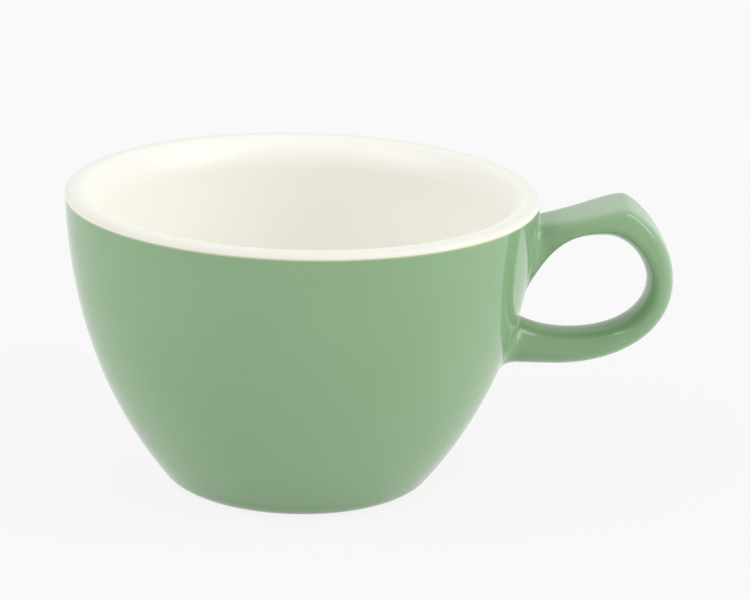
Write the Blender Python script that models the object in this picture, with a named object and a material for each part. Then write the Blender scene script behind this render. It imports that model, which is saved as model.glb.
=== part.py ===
"""Coffee cup: a thick turned bowl, a cast loop handle stuck on with slip, and the glaze coats over them.

Metres, +Z up. The cup stands on its foot ring at Z = 0 with the handle along +X. The whole cup, handle
included, is centred on X = 0, so the bowl's own axis lies at the empty called cup_axis.
"""

import math

import bmesh
import bpy
import numpy as np

MM = 0.001

# Bowl, measured over the glaze
RIM_RADIUS = 47.4 * MM
CUP_HEIGHT = 60.5 * MM
BASE_RADIUS = 21.9 * MM
BASE_CORNER = 7.0 * MM
WALL_FOOT_SLOPE = 51.5
WALL_FOOT_PULL = 20.8 * MM
WALL_RIM_SLOPE = 87.3
WALL_RIM_PULL = 21.8 * MM

# Lip and inside
LIP_OUTER_ROUND = 1.1 * MM
LIP_FLAT = 1.0 * MM
LIP_INNER_ROUND = 4.0 * MM
FLOOR_HEIGHT = 6.5 * MM
FLOOR_RADIUS = 12.0 * MM
INSIDE_WALL_PULL = 28.0 * MM
INSIDE_FLOOR_PULL = 18.0 * MM

# Foot ring, left bare, and the shallow recess inside it
FOOT_SPREAD = 0.9 * MM
FOOT_WIDTH = 5.0 * MM
RECESS_DEPTH = 2.0 * MM
RECESS_FLARE = 1.2 * MM
GLAZE_LINE = 20.0

# Handle outline in side view: each knot lies so far out past the rim and so far down below it
RAMP_DROP = 5.95 * MM
RAMP_SLOPE = 0.0
CREST_OUT = 17.15 * MM
CREST_DROP = 0.9 * MM
SIDE_OUT = 27.4 * MM
SIDE_DROP = 17.1 * MM
SIDE_THICKNESS = 5.3 * MM
BELLY_OUT = 3.25 * MM
BELLY_DROP = 34.75 * MM
BELLY_THICKNESS = 7.35 * MM
FINGER_TOP_OUT = 12.6 * MM
FINGER_TOP_DROP = 7.15 * MM
FINGER_BELLY_OUT = 6.4 * MM
FINGER_UPPER_DROP = 16.2 * MM
FINGER_UPPER_SLOPE = 51.0
FINGER_LOWER_DROP = 26.3 * MM
FINGER_LOWER_SLOPE = 156.0
ROOT_DEPTH = 12.0 * MM

# How long each bend of the outline holds its heading before and after a knot, as a share of its leg
RAMP_HOLDS = (0.55, 0.55)
CREST_HOLDS = (0.14, 0.18)
SIDE_HOLDS = (0.59, 0.55)
BELLY_HOLDS = (0.60, 0.55)
FINGER_UPPER_HOLDS = (0.64, 0.64)
FINGER_TOP_HOLDS = (0.66, 0.63)
FINGER_SIDE_HOLDS = (0.37, 0.65)
FINGER_BELLY_HOLDS = (0.57, 0.45)
FINGER_LOWER_HOLDS = (0.38, 0.38)

# Handle in front view
RAMP_WIDTH = 13.6 * MM
CREST_WIDTH = 16.6 * MM
SIDE_WIDTH = 12.3 * MM
BELLY_WIDTH = 10.1 * MM
RAMP_SQUARENESS = 4.0
CREST_SQUARENESS = 9.0
SIDE_SQUARENESS = 2.3
BELLY_SQUARENESS = 2.0
FINGER_ROOT_SQUARENESS = 7.0
FINGER_SQUARENESS = 2.1
ROOT_FILLET = 2.4 * MM
EDGE_FILLET = 0.6 * MM

# Coats and joints
GLAZE = 0.5 * MM
CLEARANCE = 0.3 * MM
SLIP = 1.2 * MM
COAT = GLAZE + CLEARANCE

# Facets
TURN_STEPS = 48
SECTION_STEPS = 24
ARC_STEPS = 4
WALL_STEPS = 7
KNOT_STEPS = (8, 9, 9, 3)
FLARE_STEPS = 4
CAP_SHARES = (0.66, 0.33)
WALL_SAMPLES = 200
SHARP_EDGE = 40.0

FOOT_OUTER_RADIUS = BASE_RADIUS + FOOT_SPREAD
FOOT_INNER_RADIUS = FOOT_OUTER_RADIUS - FOOT_WIDTH
RECESS_RADIUS = FOOT_INNER_RADIUS - RECESS_FLARE
AXIS_X = -SIDE_OUT / 2


def clear_scene():
    for item in list(bpy.data.objects):
        bpy.data.objects.remove(item, do_unlink=True)


def material(name, colour, roughness):
    made = bpy.data.materials.new(name)
    made.use_nodes = True
    shader = made.node_tree.nodes["Principled BSDF"]
    shader.inputs["Base Color"].default_value = (*colour, 1.0)
    shader.inputs["Roughness"].default_value = roughness
    shader.inputs["Metallic"].default_value = 0.0
    return made


def heading(degrees):
    return np.array([math.cos(math.radians(degrees)), math.sin(math.radians(degrees))])


def bezier(points, t):
    """Point and direction on a cubic curve."""
    a, b, c, d = points
    s = 1.0 - t
    point = s**3 * a + 3 * s * s * t * b + 3 * s * t * t * c + t**3 * d
    direction = s * s * (b - a) + 2 * s * t * (c - b) + t * t * (d - c)
    return point, direction / np.linalg.norm(direction)


# Turned profiles: lists of (point, outward normal) in the half plane of radius and height

def arc_path(centre, radius, start, end, steps):
    path = []
    for i in range(steps + 1):
        normal = heading(start + (end - start) * i / steps)
        path.append((centre + radius * normal, normal))
    return path


def curve_path(points, steps):
    path = []
    for i in range(steps + 1):
        point, (along_r, along_z) = bezier(points, i / steps)
        path.append((point, np.array([along_z, -along_r])))
    return path


def wall_curve():
    """The outside of the wall, from the base corner up to the lip."""
    corner = np.array([BASE_RADIUS, BASE_CORNER])
    foot = corner + BASE_CORNER * heading(WALL_FOOT_SLOPE - 90.0)
    rim = np.array([RIM_RADIUS, CUP_HEIGHT - LIP_OUTER_ROUND - CLEARANCE])
    foot_pull = foot + WALL_FOOT_PULL * heading(WALL_FOOT_SLOPE)
    rim_pull = rim - WALL_RIM_PULL * heading(WALL_RIM_SLOPE)
    return foot, foot_pull, rim_pull, rim


def outside_path():
    corner = np.array([BASE_RADIUS, BASE_CORNER])
    base = arc_path(corner, BASE_CORNER, GLAZE_LINE - 90.0, WALL_FOOT_SLOPE - 90.0, ARC_STEPS)
    return base[:-1] + curve_path(wall_curve(), WALL_STEPS)


def inside_path():
    """Over the lip, down the inside and across the floor to the axis."""
    outer_centre = np.array([RIM_RADIUS - LIP_OUTER_ROUND, CUP_HEIGHT - LIP_OUTER_ROUND])
    inner_centre = np.array([outer_centre[0] - LIP_FLAT, CUP_HEIGHT - LIP_INNER_ROUND])
    lip = arc_path(outer_centre, LIP_OUTER_ROUND, 0.0, 90.0, ARC_STEPS - 1)
    lip += arc_path(inner_centre, LIP_INNER_ROUND, 90.0, 180.0, ARC_STEPS - 1)
    top = inner_centre + LIP_INNER_ROUND * heading(180.0)
    floor = np.array([FLOOR_RADIUS, FLOOR_HEIGHT])
    wall_pull = top - INSIDE_WALL_PULL * heading(90.0)
    floor_pull = floor + INSIDE_FLOOR_PULL * heading(0.0)
    wall = curve_path((top, wall_pull, floor_pull, floor), WALL_STEPS)
    middle = (np.array([0.0, FLOOR_HEIGHT]), heading(90.0))
    return lip[:-1] + wall + [middle]


def sunk(path, depth):
    return [point - depth * normal for point, normal in path]


def coat_outline(path):
    """Closed outline of a coat of glaze whose outer face follows a path."""
    return sunk(path, 0.0) + sunk(path, GLAZE)[::-1]


def turned(name, outline, finish, parent):
    """Spin a closed outline about the bowl's axis. It runs up its outside, and needs no edge on the axis."""
    points = [(float(r), 0.0, float(z)) for r, z in reversed(outline)]
    edges = [(i, (i + 1) % len(points)) for i in range(len(points))]
    edges = [(i, j) for i, j in edges if points[i][0] > 0.0 or points[j][0] > 0.0]
    mesh = bpy.data.meshes.new(name)
    mesh.from_pydata(points, edges, [])
    made = add_object(name, mesh, finish, parent)
    spin = made.modifiers.new("spin", "SCREW")
    spin.axis = "Z"
    spin.angle = math.tau
    spin.steps = TURN_STEPS
    spin.render_steps = TURN_STEPS
    spin.use_merge_vertices = True
    spin.merge_threshold = 0.00001
    spin.use_smooth_shade = True
    return made


def add_object(name, mesh, finish, parent):
    made = bpy.data.objects.new(name, mesh)
    bpy.context.scene.collection.objects.link(made)
    made.parent = parent
    mesh.materials.append(finish)
    return made


# The handle: a loft between an outer and an inner edge, both drawn in side view

def rim_point(out, drop):
    return np.array([RIM_RADIUS + out, CUP_HEIGHT - drop])


def outer_edge():
    """Knots of (point, heading, holds), from the upper root round to the lower one."""
    ramp_start = rim_point(0.0, RAMP_DROP) - ROOT_DEPTH * heading(RAMP_SLOPE)
    crest = rim_point(CREST_OUT, CREST_DROP)
    side = rim_point(SIDE_OUT, SIDE_DROP)
    belly = rim_point(BELLY_OUT, BELLY_DROP)
    belly_end = belly + 2 * ROOT_DEPTH * heading(180.0)
    return [
        (ramp_start, RAMP_SLOPE, RAMP_HOLDS),
        (crest, 0.0, CREST_HOLDS),
        (side, -90.0, SIDE_HOLDS),
        (belly, 180.0, BELLY_HOLDS),
        (belly_end, 180.0, BELLY_HOLDS),
    ]


def inner_edge():
    """The same knots on the finger hole's side."""
    upper_root = rim_point(0.0, FINGER_UPPER_DROP) - ROOT_DEPTH * heading(FINGER_UPPER_SLOPE)
    top = rim_point(FINGER_TOP_OUT, FINGER_TOP_DROP)
    side = rim_point(SIDE_OUT - SIDE_THICKNESS, SIDE_DROP)
    belly = rim_point(FINGER_BELLY_OUT, BELLY_DROP - BELLY_THICKNESS)
    lower_root = rim_point(0.0, FINGER_LOWER_DROP) + ROOT_DEPTH * heading(FINGER_LOWER_SLOPE)
    return [
        (upper_root, FINGER_UPPER_SLOPE, FINGER_UPPER_HOLDS),
        (top, 0.0, FINGER_TOP_HOLDS),
        (side, -90.0, FINGER_SIDE_HOLDS),
        (belly, 180.0, FINGER_BELLY_HOLDS),
        (lower_root, FINGER_LOWER_SLOPE, FINGER_LOWER_HOLDS),
    ]


def edge_point(knots, u):
    """Point and direction at u on an edge, where whole numbers of u are its knots."""
    k = min(int(u), len(knots) - 2)
    start, start_heading, (_, hold_after) = knots[k]
    end, end_heading, (hold_before, _) = knots[k + 1]
    leave = heading(start_heading)
    arrive = heading(end_heading)
    leg = end - start
    first = start + hold_after * leg.dot(leave) * leave
    last = end - hold_before * leg.dot(arrive) * arrive
    return bezier((start, first, last, end), u - k)


def eased(values, u):
    """Value at u, passing smoothly through one value for each knot."""
    k = min(int(u), len(values) - 2)
    t = u - k
    return values[k] + (values[k + 1] - values[k]) * t * t * (3.0 - 2.0 * t)


def bent(base, power):
    return math.copysign(abs(base) ** power, base)


def handle_point(u, turn, inset):
    """Point and outward direction on the handle's section at u, sunk by inset. Turn 0 is its outer side."""
    outer, _ = edge_point(OUTER_EDGE, u)
    inner, (along_x, along_z) = edge_point(INNER_EDGE, u)
    inner = inner + inset * np.array([-along_z, along_x])
    upward = (outer - inner) / np.linalg.norm(outer - inner)
    outer = outer - inset * upward
    depth = np.linalg.norm(outer - inner) / 2
    squareness = eased(OUTER_SQUARENESS if math.cos(turn) > 0 else INNER_SQUARENESS, u)
    reach = (abs(math.cos(turn)) ** squareness + abs(math.sin(turn)) ** squareness) ** (-1 / squareness)
    rise = reach * math.cos(turn)
    side = reach * math.sin(turn)
    half_width = eased(HALF_WIDTHS, u)
    x, z = (outer + inner) / 2 + depth * rise * upward
    point = np.array([x, (half_width - inset) * side, z])
    lift = bent(rise, squareness - 1) / depth
    spread = bent(side, squareness - 1) / half_width
    normal = np.array([lift * upward[0], spread, lift * upward[1]])
    return point, normal / np.linalg.norm(normal)


# Where the handle meets the bowl

def wall_radius(z):
    heights, radii = WALL_TABLE
    return float(np.interp(z, heights, radii))


def wall_table():
    """Heights and radii of the outside, close together, for reading the radius at any height."""
    base = [point for point, _ in outside_path()[:ARC_STEPS]]
    wall = [point for point, _ in curve_path(wall_curve(), WALL_SAMPLES)]
    return [z for _, z in base + wall], [r for r, _ in base + wall]


def wall_distance(point):
    return math.hypot(point[0], point[1]) - wall_radius(point[2])


def at_distance(point, distance):
    """The point moved level, towards or away from the axis, to stand so far off the wall."""
    x, y, z = point
    scale = (wall_radius(z) + distance) / math.hypot(x, y)
    return np.array([x * scale, y * scale, z])


def meet_wall(root, turn, inset, distance):
    """The u at which one line of the handle comes within a distance of the wall."""
    near, far = root
    for _ in range(40):
        middle = (near + far) / 2
        point, _ = handle_point(middle, turn, inset)
        if wall_distance(point) < distance:
            near = middle
        else:
            far = middle
    return far


def root_ring(root, inset, distance, extra, share):
    """The handle's section on the wall, widened by a share of its fillet there and of something extra."""
    ring = []
    for turn in TURNS:
        u = meet_wall(root, turn, inset, distance)
        point, normal = handle_point(u, turn, inset)
        facing_out = max(normal[0], 0.0) ** 2 + max(normal[2], 0.0) ** 2
        fillet = ROOT_FILLET + (EDGE_FILLET - ROOT_FILLET) * facing_out
        ring.append(at_distance(point + share * (fillet + extra) * normal, distance))
    return ring


def flare_rings(root, inset):
    """Rings of the fillet, from the wall out to the plain handle, tangent to both."""
    rings = []
    for i in range(FLARE_STEPS):
        t = 1.0 - i / FLARE_STEPS
        distance = COAT - inset + (ROOT_FILLET + inset) * (1.0 - t) ** 2
        rings.append(root_ring(root, inset, distance, inset, t * t))
    return rings


def arm_rings(inset, distance):
    """Rings of the plain handle from one root to the other, both at a distance from the wall."""
    starts = [meet_wall(UPPER_ROOT, turn, inset, distance) for turn in TURNS]
    ends = [meet_wall(LOWER_ROOT, turn, inset, distance) for turn in TURNS]
    stations = [k + i / steps for k, steps in enumerate(KNOT_STEPS) for i in range(steps)]
    rings = []
    for station in stations + [float(len(KNOT_STEPS))]:
        ring = []
        for turn, start, end in zip(TURNS, starts, ends):
            u = station
            if station < 1.0:
                u = start + (1.0 - start) * station
            elif station > LOWER_ROOT[1]:
                u = LOWER_ROOT[1] + (end - LOWER_ROOT[1]) * (station - LOWER_ROOT[1])
            ring.append(handle_point(u, turn, inset)[0])
        rings.append(ring)
    return rings


def coat_rings(inset):
    plain = arm_rings(inset, COAT + ROOT_FILLET)
    return flare_rings(UPPER_ROOT, inset) + plain + flare_rings(LOWER_ROOT, inset)[::-1]


# Skins over rings

def add_ring(work, ring):
    return [work.verts.new(point) for point in ring]


def bridge(work, first, second):
    for i in range(len(first)):
        j = (i + 1) % len(first)
        work.faces.new((first[i], first[j], second[j], second[i]))


def cap(work, ring, points, distance):
    """Close a ring with a patch that keeps its distance from the wall."""
    centre = sum(points) / len(points)
    for share in CAP_SHARES:
        inner = [at_distance(centre + share * (point - centre), distance) for point in points]
        verts = add_ring(work, inner)
        bridge(work, ring, verts)
        ring = verts
    tip = work.verts.new(at_distance(centre, distance))
    for i in range(len(ring)):
        work.faces.new((ring[i], ring[(i + 1) % len(ring)], tip))


def skinned(name, work, finish, parent):
    bmesh.ops.recalc_face_normals(work, faces=work.faces)
    mesh = bpy.data.meshes.new(name)
    work.to_mesh(mesh)
    work.free()
    mesh.shade_smooth()
    mesh.set_sharp_from_angle(angle=math.radians(SHARP_EDGE))
    return add_object(name, mesh, finish, parent)


def solid(name, rings, first_distance, last_distance, finish, parent):
    """A closed loft whose two ends lie along the wall."""
    work = bmesh.new()
    loops = [add_ring(work, ring) for ring in rings]
    for first, second in zip(loops, loops[1:]):
        bridge(work, first, second)
    cap(work, loops[0], rings[0], first_distance)
    cap(work, loops[-1], rings[-1], last_distance)
    return skinned(name, work, finish, parent)


def sleeve(name, outer, inner, finish, parent):
    """A closed tube between two lofts."""
    work = bmesh.new()
    outside = [add_ring(work, ring) for ring in outer]
    inside = [add_ring(work, ring) for ring in inner]
    loops = outside + inside[::-1]
    for first, second in zip(loops, loops[1:] + loops[:1]):
        bridge(work, first, second)
    return skinned(name, work, finish, parent)


# Pieces

def bowl_body(finish, parent):
    """The clay bowl, with its bare foot ring and the recess under it."""
    outline = [
        np.array([0.0, RECESS_DEPTH]),
        np.array([RECESS_RADIUS, RECESS_DEPTH]),
        np.array([FOOT_INNER_RADIUS, 0.0]),
        np.array([FOOT_OUTER_RADIUS, 0.0]),
    ]
    outline += sunk(outside_path(), COAT) + sunk(inside_path(), COAT)
    return turned("bowl_body", outline, finish, parent)


def inside_glaze(finish, parent):
    return turned("inside_glaze", coat_outline(inside_path()), finish, parent)


def outside_glaze(finish, parent):
    """The coat over the bowl, left open where the two slip joints pass through it."""
    coat = turned("outside_glaze", coat_outline(outside_path()), finish, parent)
    for root, end in ((UPPER_ROOT, "upper"), (LOWER_ROOT, "lower")):
        below, above = -COAT, CLEARANCE
        rings = [root_ring(root, COAT, distance, SLIP_EXTRA + CLEARANCE, 1.0) for distance in (below, above)]
        cutter = solid(end + "_window_cutter", rings, below, above, finish, parent)
        cutter.hide_render = True
        cutter.display_type = "WIRE"
        cut = coat.modifiers.new(end + "_window", "BOOLEAN")
        cut.operation = "DIFFERENCE"
        cut.object = cutter
    return coat


def underside_glaze(finish, parent):
    """The coat in the recess under the cup, wiped off its slanted edge."""
    radius = RECESS_RADIUS - COAT
    top = RECESS_DEPTH - CLEARANCE
    outline = [
        np.array([0.0, top - GLAZE]),
        np.array([radius - GLAZE, top - GLAZE]),
        np.array([radius, top]),
        np.array([0.0, top]),
    ]
    return turned("underside_glaze", outline, finish, parent)


def slip_joint(name, root, finish, parent):
    """The pad of slip between the bowl and one end of the handle, squeezed out into a fillet."""
    rings = [root_ring(root, COAT, -GLAZE, SLIP_EXTRA, 1.0)]
    for i in range(FLARE_STEPS):
        t = 1.0 - i / (FLARE_STEPS - 1)
        rings.append(root_ring(root, COAT, SLIP * (1.0 - t) ** 2, SLIP_EXTRA, t * t))
    return solid(name, rings, -GLAZE, SLIP, finish, parent)


def handle_body(finish, parent):
    start = SLIP + CLEARANCE
    return solid("handle_body", arm_rings(COAT, start), start, start, finish, parent)


def handle_glaze(finish, parent):
    return sleeve("handle_glaze", coat_rings(0.0), coat_rings(GLAZE), finish, parent)


OUTER_EDGE = outer_edge()
INNER_EDGE = inner_edge()
HALF_WIDTHS = [width / 2 for width in (RAMP_WIDTH, CREST_WIDTH, SIDE_WIDTH, BELLY_WIDTH, BELLY_WIDTH)]
OUTER_SQUARENESS = [RAMP_SQUARENESS, CREST_SQUARENESS, SIDE_SQUARENESS, BELLY_SQUARENESS, BELLY_SQUARENESS]
INNER_SQUARENESS = [FINGER_ROOT_SQUARENESS] + len(KNOT_STEPS) * [FINGER_SQUARENESS]
WALL_TABLE = wall_table()
TURNS = [math.tau * i / SECTION_STEPS for i in range(SECTION_STEPS)]
UPPER_ROOT = (0.0, 1.0)
LOWER_ROOT = (4.0, 3.0)
SLIP_EXTRA = COAT - 2 * CLEARANCE

clear_scene()
cup_axis = bpy.data.objects.new("cup_axis", None)
bpy.context.scene.collection.objects.link(cup_axis)
cup_axis.location = (AXIS_X, 0.0, 0.0)

clay = material("white_clay", (0.80, 0.77, 0.70), 0.75)
white_glaze = material("white_glaze", (0.84, 0.81, 0.75), 0.10)
green_glaze = material("green_glaze", (0.26, 0.42, 0.24), 0.10)
slip_clay = material("slip_clay", (0.76, 0.73, 0.66), 0.80)

bowl_body(clay, cup_axis)
inside_glaze(white_glaze, cup_axis)
outside_glaze(green_glaze, cup_axis)
underside_glaze(green_glaze, cup_axis)
slip_joint("upper_slip_joint", UPPER_ROOT, slip_clay, cup_axis)
slip_joint("lower_slip_joint", LOWER_ROOT, slip_clay, cup_axis)
handle_body(clay, cup_axis)
handle_glaze(green_glaze, cup_axis)
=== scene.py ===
import math

import bmesh
import bpy
import numpy as np
from mathutils import Matrix, Vector


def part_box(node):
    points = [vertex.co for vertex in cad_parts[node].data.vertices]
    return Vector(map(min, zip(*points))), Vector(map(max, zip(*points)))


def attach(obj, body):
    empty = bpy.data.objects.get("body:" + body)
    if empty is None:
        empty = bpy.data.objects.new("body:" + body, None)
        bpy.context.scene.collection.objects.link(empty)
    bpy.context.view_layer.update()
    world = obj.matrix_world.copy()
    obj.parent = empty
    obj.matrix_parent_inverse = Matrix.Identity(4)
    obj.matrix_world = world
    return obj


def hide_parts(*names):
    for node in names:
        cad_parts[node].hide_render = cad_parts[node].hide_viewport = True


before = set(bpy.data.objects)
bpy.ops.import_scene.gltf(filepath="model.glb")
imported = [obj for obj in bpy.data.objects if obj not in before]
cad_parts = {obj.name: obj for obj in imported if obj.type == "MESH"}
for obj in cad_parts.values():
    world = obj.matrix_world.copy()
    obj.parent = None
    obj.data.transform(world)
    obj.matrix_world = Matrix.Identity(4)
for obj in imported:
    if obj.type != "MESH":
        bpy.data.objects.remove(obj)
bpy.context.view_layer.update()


# The clay bowl
# One thick bowl of white stoneware, turned on a wheel head and trimmed underneath to a flat foot ring
# round a shallow recess. Glaze covers all of it but the foot ring, which is wiped bare so that it doesn't
# stick in the kiln.

MM = 0.001
lip_low, lip_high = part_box("inside_glaze")
CUP_AXIS = (lip_low.x + lip_high.x) / 2
RIM_RADIUS = (lip_high.x - lip_low.x) / 2
CUP_HEIGHT = lip_high.z

# The outside is a round base corner and one curve up to the lip. A slope is in degrees above level, and a
# pull is how far a curve is drawn along its slope before it bends away.
BASE_RADIUS = 21.9 * MM
BASE_CORNER = 7.0 * MM
WALL_FOOT_SLOPE = 51.5
WALL_FOOT_PULL = 20.8 * MM
WALL_RIM_SLOPE = 87.3
WALL_RIM_PULL = 21.8 * MM

# The lip has a small outer round, a flat and an oval inner round. Then come the inside wall and the floor.
LIP_OUTER_ROUND = 1.1 * MM
LIP_FLAT = 1.6 * MM
LIP_INNER_ROUND = 4.0 * MM
LIP_INNER_FALL = 6.5 * MM
INSIDE_WALL_PULL = 25.5 * MM
INSIDE_FLOOR_PULL = 18.0 * MM
FLOOR_RADIUS = 12.0 * MM
FLOOR_HEIGHT = 6.5 * MM

# The foot ring's edges are rounded between the two pairs of angles, and the recess lies inside the ring.
FOOT_OUTER_RADIUS = 22.8 * MM
FOOT_INNER_RADIUS = 17.8 * MM
FOOT_EDGE_ROUND = 0.5 * MM
FOOT_INNER_TURN = (210.0, 270.0)
FOOT_OUTER_TURN = (270.0, 320.0)
RECESS_DEPTH = 2.0 * MM
RECESS_FLARE = 1.2 * MM

# The outside glaze ends at an angle up the base corner. A hair of air lies between each coat and the clay.
GLAZE_LINE = 20.0
GLAZE = 0.5 * MM
HAIR = 0.02 * MM
CLAY_INSET = GLAZE + HAIR

WALL_STEPS = 48
ROUND_STEPS = 32
TURNS = 288
SAME_POINT = HAIR / 100
SHARP_EDGE = 40.0

CLAY_COLOUR = (0.76, 0.70, 0.60)
CLAY_GRAIN = (0.60, 0.53, 0.43)
CLAY_ROUGHNESS = (0.68, 0.86)
CLAY_ROUGHNESS_BAND = (0.2, 0.8)
GRAIN_SIZE = 0.5 * MM
GRAIN_DETAIL = 4.0
GRAIN_HEIGHT = 0.05 * MM
SPECK_BAND = (0.56, 0.70)
TONE_SIZE = 14 * MM
TONE_BAND = (0.3, 0.7)
TONE_SHARE = (0.0, 0.35)
TRIM_RING_SCALE = 500.0
TRIM_RING_WANDER = 1.5
TRIM_RING_DETAIL = 2.0
TRIM_RING_HEIGHT = 0.02 * MM
WHOLE = (0.0, 1.0)


def heading(degrees):
    """The direction at an angle above level, in the half plane of radius and height."""
    return np.array([math.cos(math.radians(degrees)), math.sin(math.radians(degrees))])


def bezier(legs, t):
    """Points at t on cubic curves: legs holds four points for each t."""
    s = 1.0 - t
    weights = (s**3, 3 * s * s * t, 3 * s * t * t, t**3)
    return sum(weight[:, None] * legs[:, i] for i, weight in enumerate(weights))


def oval(centre, across, upright, start, end):
    """Points and outward directions round part of an ellipse in the half plane of radius and height."""
    turns = np.radians(np.linspace(start, end, ROUND_STEPS + 1))
    round_unit = np.stack((np.cos(turns), np.sin(turns)), axis=1)
    out = round_unit / (across, upright)
    return centre + round_unit * (across, upright), out / np.linalg.norm(out, axis=1)[:, None]


def arc(centre, radius, start, end):
    """The same round part of a circle."""
    return oval(centre, radius, radius, start, end)


def curve(*points):
    """Points and outward directions along one cubic curve in the same half plane."""
    t = np.linspace(0.0, 1.0, WALL_STEPS + 1)
    path = bezier(np.repeat(np.array([points]), len(t), axis=0), t)
    along = np.gradient(path, t, axis=0, edge_order=2)
    along /= np.linalg.norm(along, axis=1)[:, None]
    return path, np.stack((along[:, 1], -along[:, 0]), axis=1)


def joined(*paths):
    """Paths end to end, each without its first point after the first."""
    points = [paths[0][0]] + [path[1:] for path, _ in paths[1:]]
    out = [paths[0][1]] + [normals[1:] for _, normals in paths[1:]]
    return np.concatenate(points), np.concatenate(out)


def outside_wall(lowest):
    """The outside of the glazed bowl, from an angle on its base corner up to the lip."""
    corner = np.array([BASE_RADIUS, BASE_CORNER])
    foot = corner + BASE_CORNER * heading(WALL_FOOT_SLOPE - 90.0)
    rim = np.array([RIM_RADIUS, CUP_HEIGHT - LIP_OUTER_ROUND])
    foot_pull = foot + WALL_FOOT_PULL * heading(WALL_FOOT_SLOPE)
    rim_pull = rim - WALL_RIM_PULL * heading(WALL_RIM_SLOPE)
    base = arc(corner, BASE_CORNER, lowest - 90.0, WALL_FOOT_SLOPE - 90.0)
    return joined(base, curve(foot, foot_pull, rim_pull, rim))


def inside_wall():
    """Over the lip, down the inside and across the floor to the axis."""
    outer_centre = np.array([RIM_RADIUS - LIP_OUTER_ROUND, CUP_HEIGHT - LIP_OUTER_ROUND])
    inner_centre = np.array([outer_centre[0] - LIP_FLAT, CUP_HEIGHT - LIP_INNER_FALL])
    top = inner_centre + LIP_INNER_ROUND * heading(180.0)
    floor = np.array([FLOOR_RADIUS, FLOOR_HEIGHT])
    wall_pull = top - INSIDE_WALL_PULL * heading(90.0)
    floor_pull = floor + INSIDE_FLOOR_PULL * heading(0.0)
    outer_round = arc(outer_centre, LIP_OUTER_ROUND, 0.0, 90.0)
    inner_round = oval(inner_centre, LIP_INNER_ROUND, LIP_INNER_FALL, 90.0, 180.0)
    flat = (inner_round[0][:1], inner_round[1][:1])
    middle = (np.array([floor, (0.0, FLOOR_HEIGHT)]), np.array([heading(90.0), heading(90.0)]))
    lip = (np.concatenate((outer_round[0], flat[0])), np.concatenate((outer_round[1], flat[1])))
    return joined(lip, inner_round, curve(top, wall_pull, floor_pull, floor), middle)


def sunk(path, depth):
    """The points of a path, moved inwards."""
    points, out = path
    return points - depth * out


def clay_outline():
    """Half of the bowl's section: the recess, the foot ring, the outside wall, the lip and the inside."""
    recess = FOOT_INNER_RADIUS - RECESS_FLARE
    foot_inside = np.array([FOOT_INNER_RADIUS + FOOT_EDGE_ROUND, FOOT_EDGE_ROUND])
    foot_outside = np.array([FOOT_OUTER_RADIUS - FOOT_EDGE_ROUND, FOOT_EDGE_ROUND])
    return np.concatenate((
        [(0.0, RECESS_DEPTH), (recess, RECESS_DEPTH)],
        arc(foot_inside, FOOT_EDGE_ROUND, *FOOT_INNER_TURN)[0],
        arc(foot_outside, FOOT_EDGE_ROUND, *FOOT_OUTER_TURN)[0],
        sunk(outside_wall(GLAZE_LINE), CLAY_INSET),
        sunk(inside_wall(), CLAY_INSET),
    ))


def made_piece(name, work):
    """A new object from a finished mesh, smooth but for its sharp edges."""
    bmesh.ops.recalc_face_normals(work, faces=work.faces)
    mesh = bpy.data.meshes.new(name)
    work.to_mesh(mesh)
    work.free()
    mesh.shade_smooth()
    mesh.set_sharp_from_angle(angle=math.radians(SHARP_EDGE))
    piece = bpy.data.objects.new(name, mesh)
    bpy.context.scene.collection.objects.link(piece)
    return piece


def turned(name, outline):
    """A piece spun from a closed outline about the cup's axis. An edge on the axis itself isn't spun."""
    work = bmesh.new()
    verts = [work.verts.new((r, 0.0, z)) for r, z in outline]
    edges = [work.edges.new(pair) for pair in zip(verts, verts[1:] + verts[:1])]
    edges = [edge for edge in edges if max(vert.co.x for vert in edge.verts) > HAIR]
    bmesh.ops.spin(work, geom=verts + edges, axis=(0, 0, 1), angle=math.tau, steps=TURNS, use_merge=True)
    bmesh.ops.remove_doubles(work, verts=work.verts, dist=SAME_POINT)
    bare = [edge for edge in work.edges if not edge.link_faces]
    bmesh.ops.delete(work, geom=bare, context="EDGES")
    bmesh.ops.translate(work, verts=work.verts, vec=(CUP_AXIS, 0.0, 0.0))
    return made_piece(name, work)


def new_finish(name):
    """A new material with its node tree, its shader and the piece's own coordinates."""
    finish = bpy.data.materials.new(name)
    finish.use_nodes = True
    tree = finish.node_tree
    place = tree.nodes.new("ShaderNodeTexCoord").outputs["Object"]
    return finish, tree, tree.nodes["Principled BSDF"], place


def add_node(tree, kind, inputs, **settings):
    """A node whose inputs are set to values, or linked where another node's output is given."""
    made = tree.nodes.new(kind)
    for name, value in settings.items():
        setattr(made, name, value)
    for name, value in inputs.items():
        if isinstance(value, bpy.types.NodeSocket):
            tree.links.new(value, made.inputs[name])
        else:
            made.inputs[name].default_value = value
    return made


def centred(tree, place):
    """The piece's coordinates, measured from the cup's axis."""
    inputs = {0: place, 1: (CUP_AXIS, 0.0, 0.0)}
    return add_node(tree, "ShaderNodeVectorMath", inputs, operation="SUBTRACT").outputs["Vector"]


def mottle(tree, place, size, detail=2.0):
    """A soft random pattern, about 0.3 to 0.7 in strength, whose patches are about one size across."""
    noise = add_node(tree, "ShaderNodeTexNoise", {"Vector": place, "Scale": 1.0 / size, "Detail": detail})
    return noise.outputs["Fac"]


def spread(tree, value, band, result):
    """Map a band of a value smoothly to a range of results."""
    inputs = {"Value": value}
    inputs["From Min"], inputs["From Max"] = band
    inputs["To Min"], inputs["To Max"] = result
    return add_node(tree, "ShaderNodeMapRange", inputs, interpolation_type="SMOOTHSTEP").outputs["Result"]


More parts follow.
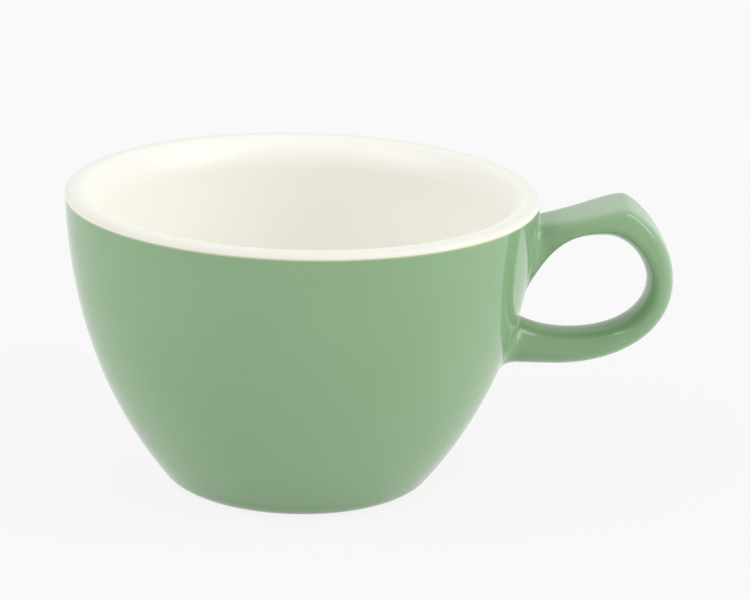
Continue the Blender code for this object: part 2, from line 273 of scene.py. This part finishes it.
def tinted(tree, share, first, second):
    """A colour from the first to the second by a share: inputs 6 and 7 take them, and output 2 gives it."""
    colours = [c if isinstance(c, bpy.types.NodeSocket) else (*c, 1.0) for c in (first, second)]
    inputs = {0: share, 6: colours[0], 7: colours[1]}
    return add_node(tree, "ShaderNodeMix", inputs, data_type="RGBA").outputs[2]


def bumped(tree, height, depth, normal=None):
    """A surface normal raised by a pattern of heights from 0 to 1."""
    inputs = {"Height": height, "Strength": 1.0, "Distance": depth}
    if normal:
        inputs["Normal"] = normal
    return add_node(tree, "ShaderNodeBump", inputs).outputs["Normal"]


def bare_clay():
    """Fired stoneware: matt, with sandy grains and the fine rings left by the trimming tool."""
    finish, tree, shader, place = new_finish("bare_clay")
    grain = mottle(tree, place, GRAIN_SIZE, GRAIN_DETAIL)
    specks = spread(tree, grain, SPECK_BAND, WHOLE)
    tone = mottle(tree, place, TONE_SIZE)
    warm = tinted(tree, spread(tree, tone, TONE_BAND, TONE_SHARE), CLAY_COLOUR, CLAY_GRAIN)
    tree.links.new(tinted(tree, specks, warm, CLAY_GRAIN), shader.inputs["Base Color"])
    rings = add_node(
        tree,
        "ShaderNodeTexWave",
        {
            "Vector": centred(tree, place),
            "Scale": TRIM_RING_SCALE,
            "Distortion": TRIM_RING_WANDER,
            "Detail": TRIM_RING_DETAIL,
        },
        wave_type="RINGS",
        rings_direction="Z",
    )
    trimmed = bumped(tree, rings.outputs["Fac"], TRIM_RING_HEIGHT)
    tree.links.new(bumped(tree, grain, GRAIN_HEIGHT, trimmed), shader.inputs["Normal"])
    tree.links.new(spread(tree, grain, CLAY_ROUGHNESS_BAND, CLAY_ROUGHNESS), shader.inputs["Roughness"])
    return finish


clay_bowl = turned("clay_bowl", clay_outline())
clay = bare_clay()
clay_bowl.data.materials.append(clay)
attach(clay_bowl, "root")
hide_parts("bowl_body")


# The white glaze
# A warm white gloss glaze poured into the bowl and rolled round. It covers the floor, the inside wall and
# the whole lip, and stops at the lip's outer edge, where it meets the green. The lip is creamier and more
# matt than the inside.

WHITE_COLOUR = (0.915, 0.905, 0.845)
WHITE_SHADE = (0.90, 0.885, 0.815)
WHITE_ROUGHNESS = (0.32, 0.36)
WHITE_GLOSS_SIZE = 6 * MM
GLOSS_BAND = (0.3, 0.7)
POOL_SIZE = 30 * MM
POOL_BAND = (0.35, 0.7)
POOL_SHARE = (0.0, 0.5)
WHITE_FLECK_SIZE = 1.2 * MM
WHITE_FLECK_BAND = (0.60, 0.75)
WHITE_FLECK_SHARE = (0.0, 0.25)
FLECK_DETAIL = 3.0
WHITE_WAVE_SIZE = 7 * MM
WHITE_WAVE_HEIGHT = 0.012 * MM
WAVE_DETAIL = 1.0
LIP_COLOUR = (0.84, 0.83, 0.755)
LIP_EXTRA_ROUGHNESS = 0.2
LIP_MATT = 4.0 * MM


def radius_of(tree, place):
    """The distance from the cup's axis."""
    across = {0: centred(tree, place), 1: (1.0, 1.0, 0.0)}
    level = add_node(tree, "ShaderNodeVectorMath", across, operation="MULTIPLY").outputs["Vector"]
    return add_node(tree, "ShaderNodeVectorMath", {0: level}, operation="LENGTH").outputs["Value"]


def white_glaze():
    """Warm white gloss, creamier where it pooled and on the lip, with the faint waves of fired glaze."""
    finish, tree, shader, place = new_finish("white_glaze")
    pooled = spread(tree, mottle(tree, place, POOL_SIZE), POOL_BAND, POOL_SHARE)
    flecks = mottle(tree, place, WHITE_FLECK_SIZE, FLECK_DETAIL)
    flecks = spread(tree, flecks, WHITE_FLECK_BAND, WHITE_FLECK_SHARE)
    cream = tinted(tree, pooled, WHITE_COLOUR, WHITE_SHADE)
    cream = tinted(tree, flecks, cream, WHITE_SHADE)
    lip_band = (RIM_RADIUS - LIP_MATT, RIM_RADIUS - LIP_OUTER_ROUND)
    worn = spread(tree, radius_of(tree, place), lip_band, WHOLE)
    tree.links.new(tinted(tree, worn, cream, LIP_COLOUR), shader.inputs["Base Color"])
    gloss = spread(tree, mottle(tree, place, WHITE_GLOSS_SIZE), GLOSS_BAND, WHITE_ROUGHNESS)
    matt = {0: worn, 1: LIP_EXTRA_ROUGHNESS, 2: gloss}
    matt = add_node(tree, "ShaderNodeMath", matt, operation="MULTIPLY_ADD").outputs[0]
    tree.links.new(matt, shader.inputs["Roughness"])
    waves = bumped(tree, mottle(tree, place, WHITE_WAVE_SIZE, WAVE_DETAIL), WHITE_WAVE_HEIGHT)
    tree.links.new(waves, shader.inputs["Normal"])
    return finish


def coat_outline(path):
    """Closed outline of a coat of glaze whose outer face follows a path."""
    return np.concatenate((path[0], sunk(path, GLAZE)[::-1]))


white_coat = turned("white_glaze_coat", coat_outline(inside_wall()))
white_coat.data.materials.append(white_glaze())
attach(white_coat, "root")
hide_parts("inside_glaze")


# The green glaze on the bowl
# A mint green gloss glaze over the outside wall, sprayed after the white was wiped back to the lip's edge.
# It thins to a yellowish line against the white, and ends in a rounded bead above the foot ring. The recess
# has a coat too.

GREEN_COLOUR = (0.250, 0.412, 0.223)
GREEN_DEEP = (0.240, 0.398, 0.213)
GREEN_ROUGHNESS = (0.05, 0.10)
GREEN_GLOSS_SIZE = 5 * MM
GLAZE_IOR = 1.55
DRIFT_SIZE = 40 * MM
DRIFT_BAND = (0.35, 0.65)
GREEN_FLECK_SIZE = 0.9 * MM
GREEN_FLECK_BAND = (0.60, 0.78)
GREEN_FLECK_SHARE = (0.0, 0.35)
GREEN_WAVE_SIZE = 6 * MM
GREEN_WAVE_HEIGHT = 0.02 * MM
GREEN_THIN = (0.62, 0.66, 0.40)
THIN_LINE = 0.45 * MM
BEAD_STEPS = 6


def thinned(tree, place):
    """How far the glaze has thinned: only on the bowl itself, along a line just under the white lip."""
    on_bowl = spread(tree, radius_of(tree, place), (RIM_RADIUS + GLAZE, RIM_RADIUS + 2 * GLAZE), (1.0, 0.0))
    height = add_node(tree, "ShaderNodeSeparateXYZ", {"Vector": place}).outputs["Z"]
    lip_line = CUP_HEIGHT - LIP_OUTER_ROUND
    near_lip = spread(tree, height, (lip_line - THIN_LINE, lip_line), WHOLE)
    return add_node(tree, "ShaderNodeMath", {0: near_lip, 1: on_bowl}, operation="MULTIPLY").outputs[0]


def green_glaze(name):
    """Glossy mint green with a faint drift of tone, thinned to a yellowish line just under the lip."""
    finish, tree, shader, place = new_finish(name)
    drift = spread(tree, mottle(tree, place, DRIFT_SIZE), DRIFT_BAND, WHOLE)
    flecks = mottle(tree, place, GREEN_FLECK_SIZE, FLECK_DETAIL)
    flecks = spread(tree, flecks, GREEN_FLECK_BAND, GREEN_FLECK_SHARE)
    green = tinted(tree, drift, GREEN_COLOUR, GREEN_DEEP)
    green = tinted(tree, flecks, green, GREEN_DEEP)
    tree.links.new(tinted(tree, thinned(tree, place), green, GREEN_THIN), shader.inputs["Base Color"])
    gloss = spread(tree, mottle(tree, place, GREEN_GLOSS_SIZE), GLOSS_BAND, GREEN_ROUGHNESS)
    tree.links.new(gloss, shader.inputs["Roughness"])
    shader.inputs["IOR"].default_value = GLAZE_IOR
    waves = bumped(tree, mottle(tree, place, GREEN_WAVE_SIZE, WAVE_DETAIL), GREEN_WAVE_HEIGHT)
    tree.links.new(waves, shader.inputs["Normal"])
    return finish


def bead(end, out, along):
    """The rounded end of a coat, from its outer face round to its inner one."""
    turns = np.linspace(0.0, math.pi, BEAD_STEPS + 1)[1:-1]
    middle = end - GLAZE / 2 * out
    return [middle + GLAZE / 2 * (math.cos(turn) * out + math.sin(turn) * along) for turn in turns]


def green_outline():
    """The coat on the outside wall, with a bead at its lower end."""
    points, out = outside_wall(GLAZE_LINE)
    lowest = bead(points[0], out[0], np.array([out[0][1], -out[0][0]]))
    return np.concatenate((lowest[::-1], coat_outline((points, out))))


def underside_outline():
    """A thin disc of glaze in the recess, with a rounded edge."""
    radius = FOOT_INNER_RADIUS - RECESS_FLARE - GLAZE
    top = RECESS_DEPTH - HAIR
    edge = bead(np.array([radius, top - GLAZE]), heading(-90.0), heading(0.0))
    return np.concatenate(([(0.0, top - GLAZE), (radius, top - GLAZE)], edge, [(radius, top), (0.0, top)]))


green = green_glaze("green_glaze")
green_coat = turned("green_glaze_coat", green_outline())
green_coat.data.materials.append(green)
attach(green_coat, "root")
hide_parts("outside_glaze")

green_recess = turned("green_glaze_recess", underside_outline())
green_recess.data.materials.append(green)
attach(green_recess, "root")
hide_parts("underside_glaze")


# The handle's clay and its two joints
# The handle is cast in the same clay, as a loop with a square-edged thumb rest on top that narrows and rounds
# off towards its lower end. Slip, a liquid clay, sticks both ends to the bowl before the first firing. Glaze
# hides it all.

_, handle_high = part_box("handle_glaze")
SIDE_OUT = handle_high.x - CUP_AXIS - RIM_RADIUS
CREST_DROP = CUP_HEIGHT - handle_high.z

# Both edges of the loop pass five knots: the upper root, the crest, the side, the belly and the lower root.
# A knot's place is given out from the rim and down from it. Its holds say for what share of the run before
# and after it the edge keeps the knot's direction.
RAMP_DROP = 5.95 * MM
RAMP_SLOPE = 0.0
RAMP_HOLDS = (0.55, 0.55)
CREST_OUT = 17.15 * MM
CREST_HOLDS = (0.14, 0.18)
SIDE_DROP = 17.1 * MM
SIDE_THICKNESS = 5.3 * MM
SIDE_HOLDS = (0.59, 0.55)
BELLY_OUT = 3.25 * MM
BELLY_DROP = 34.75 * MM
BELLY_THICKNESS = 7.35 * MM
BELLY_HOLDS = (0.60, 0.55)
BELLY_END_HOLDS = (0.55, 0.55)
FINGER_UPPER_DROP = 16.2 * MM
FINGER_UPPER_SLOPE = 51.0
FINGER_UPPER_HOLDS = (0.64, 0.64)
FINGER_TOP_OUT = 12.6 * MM
FINGER_TOP_DROP = 7.15 * MM
FINGER_TOP_HOLDS = (0.66, 0.63)
FINGER_SIDE_HOLDS = (0.37, 0.65)
FINGER_BELLY_OUT = 6.4 * MM
FINGER_BELLY_HOLDS = (0.57, 0.45)
FINGER_LOWER_DROP = 26.3 * MM
FINGER_LOWER_SLOPE = 156.0
FINGER_LOWER_HOLDS = (0.38, 0.38)
ROOT_DEPTH = 12.0 * MM

# The section's width and squareness at the knots. A squareness of 2 is an ellipse, and more is boxier.
RAMP_WIDTH = 13.6 * MM
CREST_WIDTH = 16.6 * MM
SIDE_WIDTH = 12.3 * MM
BELLY_WIDTH = 10.1 * MM
RAMP_SQUARENESS = 4.0
CREST_SQUARENESS = 8.0
SIDE_SQUARENESS = 2.3
BELLY_SQUARENESS = 2.0
FINGER_ROOT_SQUARENESS = 7.0
FINGER_SQUARENESS = 2.1

# Steps along each leg between two knots and round the section. Each root is given as the knot inside the
# wall and the next one, which is clear of it.
LEG_STEPS = (36, 40, 48, 24)
SECTION_STEPS = 144
HALVINGS = 36
UPPER_ROOT = (0.0, 1.0)
LOWER_ROOT = (4.0, 3.0)

SLIP_THICKNESS = 0.6 * MM
SLIP_COLOUR = (0.72, 0.66, 0.56)
SLIP_SHADE = (0.62, 0.55, 0.45)
SLIP_ROUGHNESS = (0.74, 0.88)
SLIP_ROUGHNESS_BAND = (0.2, 0.8)
BRUSH_SIZE = 1.5 * MM
BRUSH_DETAIL = 3.0
BRUSH_BAND = (0.3, 0.7)
BRUSH_HEIGHT = 0.05 * MM


def past_rim(out, drop):
    """A point in the handle's middle plane, given from the rim."""
    return np.array([RIM_RADIUS + out, CUP_HEIGHT - drop])


def edge_legs(knots):
    """Curves between knots of (point, heading, holds before and after it)."""
    legs = []
    for (start, leaving, (_, hold_after)), (end, arriving, (hold_before, _)) in zip(knots, knots[1:]):
        leave = heading(leaving)
        arrive = heading(arriving)
        first = start + hold_after * (end - start).dot(leave) * leave
        last = end - hold_before * (end - start).dot(arrive) * arrive
        legs.append((start, first, last, end))
    return np.array(legs)


def outer_edge():
    """The loop's outside, from inside the wall over the crest and back."""
    ramp = past_rim(0.0, RAMP_DROP) - ROOT_DEPTH * heading(RAMP_SLOPE)
    belly = past_rim(BELLY_OUT, BELLY_DROP)
    return edge_legs([
        (ramp, RAMP_SLOPE, RAMP_HOLDS),
        (past_rim(CREST_OUT, CREST_DROP), 0.0, CREST_HOLDS),
        (past_rim(SIDE_OUT, SIDE_DROP), -90.0, SIDE_HOLDS),
        (belly, 180.0, BELLY_HOLDS),
        (belly + 2 * ROOT_DEPTH * heading(180.0), 180.0, BELLY_END_HOLDS),
    ])


def inner_edge():
    """The loop's finger side, from inside the wall round the finger gap and back."""
    upper = past_rim(0.0, FINGER_UPPER_DROP) - ROOT_DEPTH * heading(FINGER_UPPER_SLOPE)
    lower = past_rim(0.0, FINGER_LOWER_DROP) + ROOT_DEPTH * heading(FINGER_LOWER_SLOPE)
    return edge_legs([
        (upper, FINGER_UPPER_SLOPE, FINGER_UPPER_HOLDS),
        (past_rim(FINGER_TOP_OUT, FINGER_TOP_DROP), 0.0, FINGER_TOP_HOLDS),
        (past_rim(SIDE_OUT - SIDE_THICKNESS, SIDE_DROP), -90.0, FINGER_SIDE_HOLDS),
        (past_rim(FINGER_BELLY_OUT, BELLY_DROP - BELLY_THICKNESS), 180.0, FINGER_BELLY_HOLDS),
        (lower, FINGER_LOWER_SLOPE, FINGER_LOWER_HOLDS),
    ])


OUTER_EDGE = outer_edge()
INNER_EDGE = inner_edge()
HALF_WIDTHS = [width / 2 for width in (RAMP_WIDTH, CREST_WIDTH, SIDE_WIDTH, BELLY_WIDTH, BELLY_WIDTH)]
OUTER_SQUARENESS = [RAMP_SQUARENESS, CREST_SQUARENESS, SIDE_SQUARENESS] + 2 * [BELLY_SQUARENESS]
INNER_SQUARENESS = [FINGER_ROOT_SQUARENESS] + len(LEG_STEPS) * [FINGER_SQUARENESS]
SECTION_TURNS = np.arange(SECTION_STEPS) * math.tau / SECTION_STEPS
SECTION_UP = np.cos(SECTION_TURNS)
SECTION_SIDE = np.sin(SECTION_TURNS)
WALL_POINTS = outside_wall(GLAZE_LINE)[0]


def on_edge(legs, u):
    """Points at u on an edge, where whole numbers of u are its knots."""
    k = np.minimum(u.astype(int), len(legs) - 1)
    return bezier(legs[k], u - k)


def eased(values, u):
    """Values at u, passing smoothly through one value for each knot."""
    values = np.array(values)
    k = np.minimum(u.astype(int), len(values) - 2)
    t = u - k
    return values[k] + (values[k + 1] - values[k]) * t * t * (3.0 - 2.0 * t)


def bent(base, power):
    """A power that keeps the sign of its base."""
    return np.sign(base) * np.abs(base) ** power


def handle_skin(u, inset):
    """Points and outward directions round the handle, sunk by inset: one u for each turn of its section."""
    outer = on_edge(OUTER_EDGE, u)
    inner = on_edge(INNER_EDGE, u)
    depth = np.linalg.norm(outer - inner, axis=1) / 2
    upward = (outer - inner) / (2 * depth[:, None])
    square = np.where(SECTION_UP > 0, eased(OUTER_SQUARENESS, u), eased(INNER_SQUARENESS, u))
    reach = (np.abs(SECTION_UP) ** square + np.abs(SECTION_SIDE) ** square) ** (-1 / square)
    rise = reach * SECTION_UP
    side = reach * SECTION_SIDE
    half_width = eased(HALF_WIDTHS, u)
    middle = (outer + inner) / 2 + ((depth - inset) * rise)[:, None] * upward
    points = np.stack((middle[:, 0], (half_width - inset) * side, middle[:, 1]), axis=1)
    lift = bent(rise, square - 1) / depth
    out = np.stack((lift * upward[:, 0], bent(side, square - 1) / half_width, lift * upward[:, 1]), axis=1)
    return points, out / np.linalg.norm(out, axis=1)[:, None]


def wall_radius(z):
    """The radius of the glazed bowl's outside at a height."""
    return np.interp(z, WALL_POINTS[:, 1], WALL_POINTS[:, 0])


def meet_wall(root, inset, distance):
    """The u at which each line of the handle comes within a distance of the wall, found by halving."""
    near = np.full(SECTION_STEPS, root[0])
    far = np.full(SECTION_STEPS, root[1])
    for _ in range(HALVINGS):
        middle = (near + far) / 2
        points, _ = handle_skin(middle, inset)
        inside = np.hypot(points[:, 0], points[:, 1]) - wall_radius(points[:, 2]) < distance
        near = np.where(inside, middle, near)
        far = np.where(inside, far, middle)
    return far


def plain_rings(inset, upper_distance, lower_distance):
    """Rings of the handle from a distance off the wall at its upper root to one at its lower root."""
    starts = meet_wall(UPPER_ROOT, inset, upper_distance)
    ends = meet_wall(LOWER_ROOT, inset, lower_distance)
    rings = []
    for leg, steps in enumerate(LEG_STEPS):
        for station in leg + np.arange(steps) / steps:
            u = np.full(SECTION_STEPS, station)
            if station < UPPER_ROOT[1]:
                u = starts + (UPPER_ROOT[1] - starts) * station
            elif station > LOWER_ROOT[1]:
                u = LOWER_ROOT[1] + (ends - LOWER_ROOT[1]) * (station - LOWER_ROOT[1])
            rings.append(handle_skin(u, inset)[0])
    rings.append(handle_skin(ends, inset)[0])
    return rings


def loft(work, loops):
    """Faces between each two loops that follow each other. The whole is then set on the cup's axis."""
    for first, second in zip(loops, loops[1:]):
        for i in range(SECTION_STEPS):
            j = (i + 1) % SECTION_STEPS
            work.faces.new((first[i], first[j], second[j], second[i]))
    bmesh.ops.translate(work, verts=work.verts, vec=(CUP_AXIS, 0.0, 0.0))


def plug(name, rings):
    """A solid inside a list of rings, with a cap on each end."""
    work = bmesh.new()
    loops = [[work.verts.new(point) for point in ring] for ring in rings]
    for loop in (loops[0], loops[-1]):
        hub = work.verts.new(sum((vert.co for vert in loop), Vector()) / len(loop))
        for pair in zip(loop, loop[1:] + loop[:1]):
            work.faces.new((*pair, hub))
    loft(work, loops)
    return made_piece(name, work)


def slip_pad(name, root):
    """The slip between the bowl's clay and one end of the handle."""
    ends = [meet_wall(root, CLAY_INSET, distance) for distance in (-GLAZE, SLIP_THICKNESS)]
    return plug(name, [handle_skin(end, CLAY_INSET)[0] for end in ends])


def slip_clay():
    """Dried slip: finer than the body clay, with brush marks."""
    finish, tree, shader, place = new_finish("slip_clay")
    marks = mottle(tree, place, BRUSH_SIZE, BRUSH_DETAIL)
    brushed = tinted(tree, spread(tree, marks, BRUSH_BAND, WHOLE), SLIP_COLOUR, SLIP_SHADE)
    tree.links.new(brushed, shader.inputs["Base Color"])
    tree.links.new(bumped(tree, marks, BRUSH_HEIGHT), shader.inputs["Normal"])
    tree.links.new(spread(tree, marks, SLIP_ROUGHNESS_BAND, SLIP_ROUGHNESS), shader.inputs["Roughness"])
    return finish


handle_clay = plug("handle_clay", plain_rings(CLAY_INSET, SLIP_THICKNESS + HAIR, SLIP_THICKNESS + HAIR))
handle_clay.data.materials.append(clay)
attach(handle_clay, "root")
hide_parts("handle_body")

slip = slip_clay()
upper_slip = slip_pad("upper_slip", UPPER_ROOT)
upper_slip.data.materials.append(slip)
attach(upper_slip, "root")
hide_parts("upper_slip_joint")

lower_slip = slip_pad("lower_slip", LOWER_ROOT)
lower_slip.data.materials.append(slip)
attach(lower_slip, "root")
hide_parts("lower_slip_joint")


# The green glaze on the handle
# The same green coat goes round the handle and runs out over both joints onto the bowl: broadly at the
# sides and under the lower joint, and in a tight corner above and inside the loop.

# The fillets lie at the sides, above the upper root, in the notch under it, and above and under the lower
# root. Each one's edge dips a little under the bowl's own glaze, so that no gap shows.
SIDE_FILLET = 3.2 * MM
TOP_FILLET = 1.0 * MM
NOTCH_FILLET = 0.8 * MM
FINGER_FILLET = 1.0 * MM
BELLY_FILLET = 3.2 * MM
FILLET_BLEND = 4
FLARE_STEPS = 32
FLARE_SINK = 0.005 * MM


def fillets(outer, inner):
    """The fillet along each line of the handle: one outside the loop, one inside it, one at the sides."""
    along = np.where(SECTION_UP > 0, outer, inner)
    return SIDE_FILLET + (along - SIDE_FILLET) * (1.0 - SECTION_SIDE**FILLET_BLEND)


UPPER_FILLETS = fillets(TOP_FILLET, NOTCH_FILLET)
LOWER_FILLETS = fillets(BELLY_FILLET, FINGER_FILLET)


def off_wall(points, distance):
    """The points moved level, towards or away from the axis, to stand so far off the wall."""
    scale = (wall_radius(points[:, 2]) + distance) / np.hypot(points[:, 0], points[:, 1])
    return points * np.stack((scale, scale, np.ones(len(scale))), axis=1)


def flare_rings(root, fillet, inset):
    """Rings of the fillet that runs out onto the bowl, from the wall to the plain handle, tangent to both."""
    rings = []
    for t in np.linspace(1.0, 0.0, FLARE_STEPS + 1)[:-1]:
        distance = (fillet + inset) * (1.0 - t) ** 2 - FLARE_SINK
        points, out = handle_skin(meet_wall(root, inset, distance), inset)
        rings.append(off_wall(points + (t * t * (fillet + inset))[:, None] * out, distance))
    return rings


def handle_rings(inset):
    """One skin of the coat, from the upper fillet along the handle to the lower one."""
    lift = inset - FLARE_SINK
    plain = plain_rings(inset, UPPER_FILLETS + lift, LOWER_FILLETS + lift)
    lower = flare_rings(LOWER_ROOT, LOWER_FILLETS, inset)
    return flare_rings(UPPER_ROOT, UPPER_FILLETS, inset) + plain + lower[::-1]


def sleeve(name, outer, inner):
    """A closed tube between an outer and an inner skin, each a list of rings."""
    work = bmesh.new()
    loops = [[work.verts.new(point) for point in ring] for ring in outer + inner[::-1]]
    loft(work, loops + loops[:1])
    return made_piece(name, work)


green_handle = sleeve("green_glaze_handle", handle_rings(0.0), handle_rings(GLAZE))
green_handle.data.materials.append(green)
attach(green_handle, "root")
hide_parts("handle_glaze")


# The table and the lamps
# A white card table that runs out of sight, open under the foot ring so that light reaches the underside
# in views from below. Two upright oval softboxes hang to the right and left of the cup, a little in front,
# the right one stronger. White walls, brighter at the far side, give the rest of the light.

TABLE_RADIUS = 3.0
TABLE_OPENING = FOOT_OUTER_RADIUS - FOOT_EDGE_ROUND
TABLE_GAP = 0.05 * MM
TABLE_COLOUR = (0.90, 0.90, 0.90, 1.0)
PAPER_WHITE = (0.947, 0.947, 0.947, 1.0)
PAPER_SHARE = 0.92
GLOSS_SHARE = 0.9
SHADOW_REACH = (0.10, 0.30)
WALL_COLOUR = (1.0, 1.0, 1.0, 1.0)
WALL_LIGHT = 0.40
FAR_WALL_LIGHT = 0.6
LAMP_AIM = Vector((CUP_AXIS, 0.0, 0.5 * CUP_HEIGHT))
RIGHT_LAMP_PLACE = (0.743, -0.313, 0.609)
RIGHT_LAMP_SIZE = (0.80, 1.25)
RIGHT_LAMP_POWER = 7.0
LEFT_LAMP_PLACE = (-0.771, -0.313, 0.609)
LEFT_LAMP_SIZE = (0.80, 1.00)
LEFT_LAMP_POWER = 4.5


def seen_directly(tree):
    """1 for what is seen straight or through glass, less in a gloss, and 0 for light on other things."""
    path = tree.nodes.new("ShaderNodeLightPath")
    gloss = {0: path.outputs["Is Glossy Ray"], 1: GLOSS_SHARE}
    gloss = add_node(tree, "ShaderNodeMath", gloss, operation="MULTIPLY").outputs[0]
    seen = {0: path.outputs["Is Camera Ray"], 1: gloss}
    seen = add_node(tree, "ShaderNodeMath", seen, operation="MAXIMUM").outputs[0]
    glass = {0: seen, 1: path.outputs["Is Transmission Ray"]}
    return add_node(tree, "ShaderNodeMath", glass, operation="MAXIMUM").outputs[0]


def table_top():
    """White card that shows as even paper white with a soft shadow round the cup. Clear from below."""
    finish = bpy.data.materials.new("table_top")
    finish.use_nodes = True
    tree = finish.node_tree
    tree.nodes.remove(tree.nodes["Principled BSDF"])
    card = add_node(tree, "ShaderNodeBsdfDiffuse", {"Color": TABLE_COLOUR}).outputs[0]
    paper = add_node(tree, "ShaderNodeEmission", {"Color": PAPER_WHITE, "Strength": 1.0}).outputs[0]
    place = tree.nodes.new("ShaderNodeTexCoord").outputs["Object"]
    plain = spread(tree, radius_of(tree, place), SHADOW_REACH, (PAPER_SHARE, 1.0))
    share = {0: seen_directly(tree), 1: plain}
    share = add_node(tree, "ShaderNodeMath", share, operation="MULTIPLY").outputs[0]
    top = add_node(tree, "ShaderNodeMixShader", {0: share, 1: card, 2: paper}).outputs[0]
    below = tree.nodes.new("ShaderNodeNewGeometry").outputs["Backfacing"]
    clear = tree.nodes.new("ShaderNodeBsdfTransparent").outputs[0]
    both = add_node(tree, "ShaderNodeMixShader", {0: below, 1: top, 2: clear}).outputs[0]
    tree.links.new(both, tree.nodes["Material Output"].inputs["Surface"])
    return finish


def table_sheet():
    """A flat ring round the foot. Its faces come out pointing down, so they are flipped."""
    work = bmesh.new()
    for radius in (TABLE_OPENING, TABLE_RADIUS):
        bmesh.ops.create_circle(work, segments=TURNS, radius=radius)
    bmesh.ops.bridge_loops(work, edges=work.edges)
    bmesh.ops.translate(work, verts=work.verts, vec=(CUP_AXIS, 0.0, -TABLE_GAP))
    sheet = made_piece("table", work)
    sheet.data.flip_normals()
    return sheet


def soft_lamp(name, place, size, power):
    """An upright oval softbox that faces the cup, given its width and height."""
    lamp = bpy.data.lights.new(name, "AREA")
    lamp.shape = "ELLIPSE"
    lamp.size, lamp.size_y = size
    lamp.energy = power
    made = bpy.data.objects.new(name, lamp)
    made.location = place
    made.rotation_euler = (LAMP_AIM - Vector(place)).to_track_quat("-Z", "Y").to_euler()
    made.visible_camera = False
    bpy.context.scene.collection.objects.link(made)


def white_walls():
    """Light from all round, and more from the far side. What is seen of the walls is even paper white."""
    world = bpy.data.worlds.new("white_walls")
    bpy.context.scene.world = world
    world.use_nodes = True
    tree = world.node_tree
    direction = tree.nodes.new("ShaderNodeTexCoord").outputs["Generated"]
    away = add_node(tree, "ShaderNodeSeparateXYZ", {"Vector": direction}).outputs["Y"]
    strength = spread(tree, away, WHOLE, (WALL_LIGHT, WALL_LIGHT + FAR_WALL_LIGHT))
    paper = tree.nodes["Background"]
    paper.inputs["Color"].default_value = PAPER_WHITE
    light = add_node(tree, "ShaderNodeBackground", {"Color": WALL_COLOUR, "Strength": strength})
    inputs = {0: seen_directly(tree), 1: light.outputs[0], 2: paper.outputs[0]}
    both = add_node(tree, "ShaderNodeMixShader", inputs).outputs[0]
    tree.links.new(both, tree.nodes["World Output"].inputs["Surface"])


table = table_sheet()
table.data.materials.append(table_top())
soft_lamp("right_lamp", RIGHT_LAMP_PLACE, RIGHT_LAMP_SIZE, RIGHT_LAMP_POWER)
soft_lamp("left_lamp", LEFT_LAMP_PLACE, LEFT_LAMP_SIZE, LEFT_LAMP_POWER)
white_walls()


# The camera
# It looks a little down on the cup from well back, through a long lens. Its slight turn to the right and its
# slight roll were worked out from the ellipses of the lip and the base.

CAMERA_BACK = 0.76876
CAMERA_UP = 0.26573
CAMERA_TURN = math.radians(1.1205)
CAMERA_TILT = math.radians(16.509)
CAMERA_ROLL = math.radians(1.631)
CAMERA_LENS = 191.22
CAMERA_FILM = 36.0

camera = bpy.data.cameras.new("camera")
camera.lens = CAMERA_LENS
camera.sensor_width = CAMERA_FILM
camera.sensor_fit = "HORIZONTAL"
camera_stand = bpy.data.objects.new("camera", camera)
turn = Matrix.Rotation(-CAMERA_TURN, 4, "Z")
tilt = Matrix.Rotation(math.radians(90.0) - CAMERA_TILT, 4, "X")
roll = Matrix.Rotation(CAMERA_ROLL, 4, "Z")
camera_stand.matrix_world = Matrix.Translation((CUP_AXIS, -CAMERA_BACK, CAMERA_UP)) @ turn @ tilt @ roll
bpy.context.scene.collection.objects.link(camera_stand)
bpy.context.scene.camera = camera_stand
bpy.context.scene.view_settings.view_transform = "Standard"
